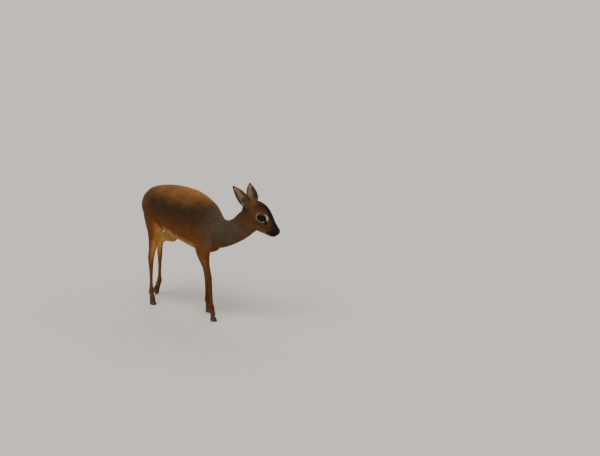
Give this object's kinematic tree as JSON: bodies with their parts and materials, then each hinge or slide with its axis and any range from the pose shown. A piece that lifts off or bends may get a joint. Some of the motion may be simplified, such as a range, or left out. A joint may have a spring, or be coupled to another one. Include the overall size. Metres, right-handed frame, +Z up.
{
  "type": "kirk's dik-dik model",
  "caption": "Life-size standing dwarf antelope, hornless, mid-stride on thin legs, with an arched back, a low neck and its head turned to its left.",
  "frame": {"origin": "bottom centre of the model's bounding box, on the floor under the belly", "axes": "+X the way the torso heads, +Y the animal's left side, +Z up"},
  "size_m": [0.5686, 0.1736, 0.4379],
  "materials": {
    "coat_back": "short coarse fur, grizzled brown",
    "coat_neck": "short coarse fur, grizzled grey-brown",
    "coat_face": "very short fur, red-brown",
    "coat_leg": "very short fur, tawny red-brown",
    "ear": "thin skin with short hair",
    "eye": "wet black",
    "horn_sheath": "black hoof horn"
  },
  "bodies": {
    "root": {"ear_left": "ear", "ear_right": "ear", "eye_left": "eye", "eye_right": "eye", "foreleg_left_cannon": "coat_leg", "foreleg_left_forearm": "coat_leg", "foreleg_right_cannon": "coat_leg", "foreleg_right_forearm": "coat_leg", "head": "coat_face", "hindleg_left_cannon": "coat_leg", "hindleg_left_gaskin": "coat_leg", "hindleg_right_cannon": "coat_leg", "hindleg_right_gaskin": "coat_leg", "hoof_foreleg_left_left": "horn_sheath", "hoof_foreleg_left_right": "horn_sheath", "hoof_foreleg_right_left": "horn_sheath", "hoof_foreleg_right_right": "horn_sheath", "hoof_hindleg_left_left": "horn_sheath", "hoof_hindleg_left_right": "horn_sheath", "hoof_hindleg_right_left": "horn_sheath", "hoof_hindleg_right_right": "horn_sheath", "neck": "coat_neck", "tail": "coat_back", "torso": "coat_back"}
  },
  "joints": []
}
